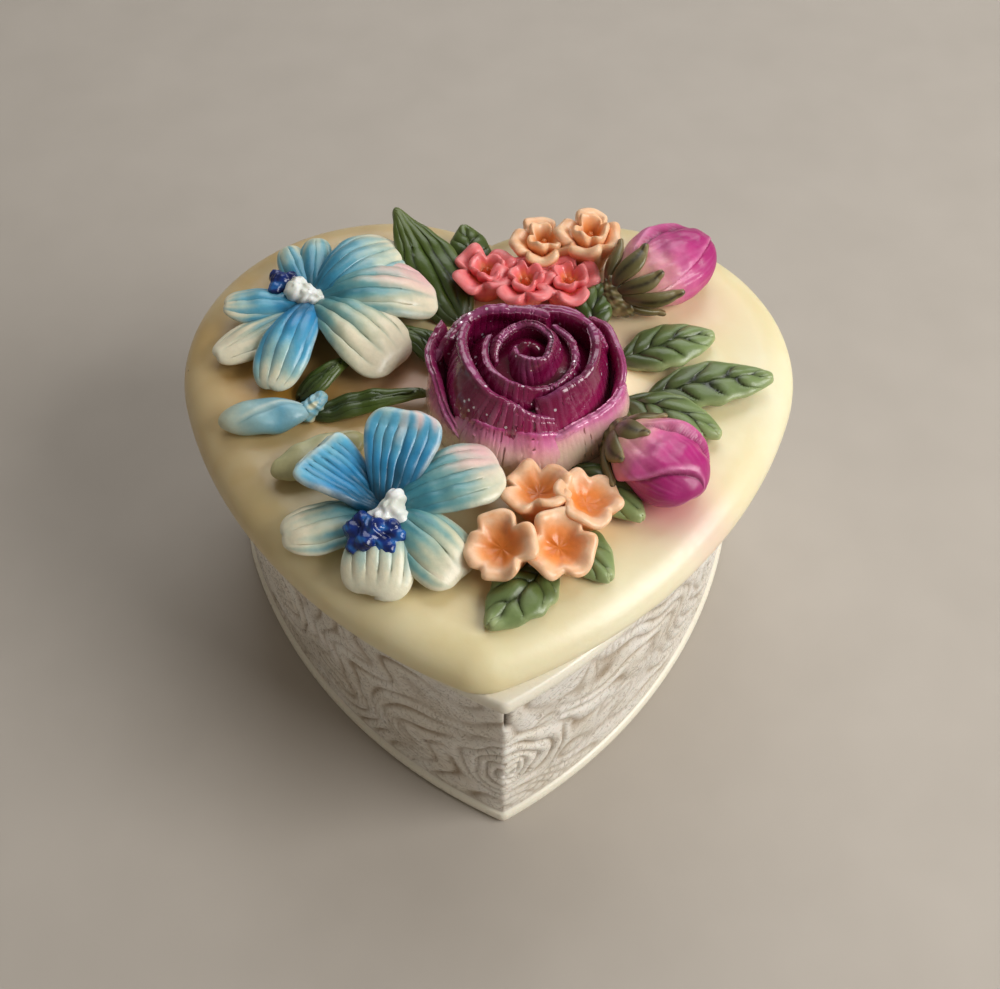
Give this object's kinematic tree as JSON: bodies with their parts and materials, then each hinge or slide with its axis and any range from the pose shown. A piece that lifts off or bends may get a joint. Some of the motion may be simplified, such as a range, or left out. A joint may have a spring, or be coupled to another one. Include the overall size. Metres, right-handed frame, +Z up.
{
  "type": "heart-shaped trinket box",
  "caption": "Small heart-shaped lidded box; the loose lid lifts off and carries a posy of rose, lilies, buds, blossoms and leaves.",
  "frame": {"origin": "on the underside of the box body, on its mirror plane, 10 mm in front of the centres of the two round lobes", "axes": "+Z up out of the mouth, the heart's tip points along -Y and its two lobes lie to +Y, +X is to the right seen from the tip"},
  "size_m": [0.075, 0.0713, 0.0478],
  "materials": {
    "antiqued_resin": "low relief, antiqued with grey-brown wash, satin",
    "ivory_resin": "smooth glossy varnish with soft ochre and pink airbrushed shading",
    "rose_paint": "glossy magenta with pale pink feet and fine glitter",
    "bud_paint": "glossy pink shading to cream",
    "lily_paint": "sky blue shading to cream tips, glossy",
    "white_paint": "chalk white, brushed on",
    "blue_paint": "royal blue, thick and glossy",
    "cream_paint": "pale green-cream, glossy",
    "leaf_paint": "olive green with dark veins and paler edges, glossy",
    "pink_blossom_paint": "pink, glossy",
    "peach_blossom_paint": "peach with creamy edges, glossy"
  },
  "bodies": {
    "box": {"box_body": "antiqued_resin"},
    "lid": {"lid_plate": "ivory_resin", "rose_core": "rose_paint", "rose_middle_petals": "rose_paint", "rose_outer_petals": "rose_paint", "rose_bud_back": "bud_paint", "rose_bud_back_calyx": "leaf_paint", "rose_bud_front": "bud_paint", "rose_bud_front_calyx": "leaf_paint", "lily_front_petals": "lily_paint", "lily_front_pistil": "white_paint", "lily_front_stamens": "blue_paint", "lily_back_petals": "lily_paint", "lily_back_pistil": "white_paint", "lily_back_stamens": "blue_paint", "lily_bud_blue": "lily_paint", "lily_bud_blue_knob": "lily_paint", "lily_bud_cream": "cream_paint", "leaf_bud_upper": "leaf_paint", "leaf_bud_long": "leaf_paint", "leaf_rose_left": "leaf_paint", "leaf_back_tall": "leaf_paint", "leaf_back_small": "leaf_paint", "leaf_rose_right": "leaf_paint", "leaf_right_upper": "leaf_paint", "leaf_right_middle": "leaf_paint", "leaf_right_lower": "leaf_paint", "leaf_front_right": "leaf_paint", "leaf_front_small": "leaf_paint", "leaf_front_tip": "leaf_paint", "blossom_front_upper": "peach_blossom_paint", "blossom_front_right": "peach_blossom_paint", "blossom_front_left": "peach_blossom_paint", "blossom_front_lower": "peach_blossom_paint", "blossom_back_pink_left": "pink_blossom_paint", "blossom_back_pink_middle": "pink_blossom_paint", "blossom_back_pink_right": "pink_blossom_paint", "blossom_back_orange_left": "peach_blossom_paint", "blossom_back_orange_right": "peach_blossom_paint"}
  },
  "joints": [
    {"name": "lid_lift", "type": "slide", "parent": "box", "child": "lid", "axis": [0, 0, 1], "range_m": [0, 0.08]}
  ]
}
